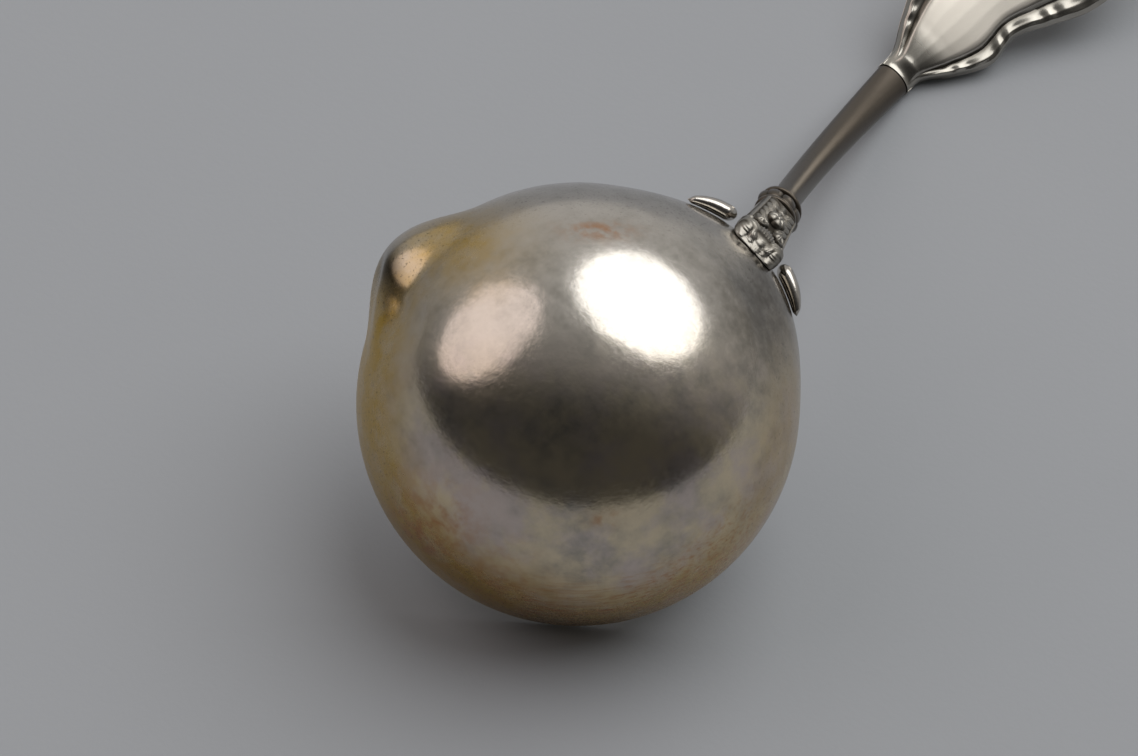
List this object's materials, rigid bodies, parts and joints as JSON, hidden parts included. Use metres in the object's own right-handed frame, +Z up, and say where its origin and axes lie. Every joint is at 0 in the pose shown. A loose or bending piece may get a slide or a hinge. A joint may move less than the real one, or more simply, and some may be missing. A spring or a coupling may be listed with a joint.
{
  "type": "cream ladle",
  "caption": "Silver cream ladle with a deep round bowl, a pouring lip at one side, leaf and blossom ornament at the shoulder, a lobed knop and a shaped hollow handle end.",
  "frame": {"origin": "on the table, under the middle of the ladle's bounding box", "axes": "+Y from the bowl to the far end of the handle, +Z up from the table that the ladle lies on, +X to the right as seen from the bowl"},
  "size_m": [0.0484, 0.1532, 0.0397],
  "materials": {
    "bowl": "polished silver with a golden brown tarnish",
    "shoulder": "cast silver, dark in the hollows",
    "leaf": "cast and burnished silver",
    "blossom": "cast silver, rubbed bright on top",
    "collar": "turned silver",
    "knop": "chased silver, dark in the hollows",
    "stem": "polished silver, gray brown tarnish",
    "terminal": "struck silver, bright panel and gray border"
  },
  "bodies": {
    "root": {"bowl": "bowl", "shoulder_plate": "shoulder", "left_scroll_leaf": "leaf", "right_scroll_leaf": "leaf", "shell_petal": "blossom", "left_blossom": "blossom", "right_blossom": "blossom", "upper_blossom": "blossom", "lower_collar": "collar", "knop": "knop", "upper_collar": "collar", "stem": "stem", "terminal_back": "terminal", "terminal_front": "terminal"}
  },
  "joints": []
}
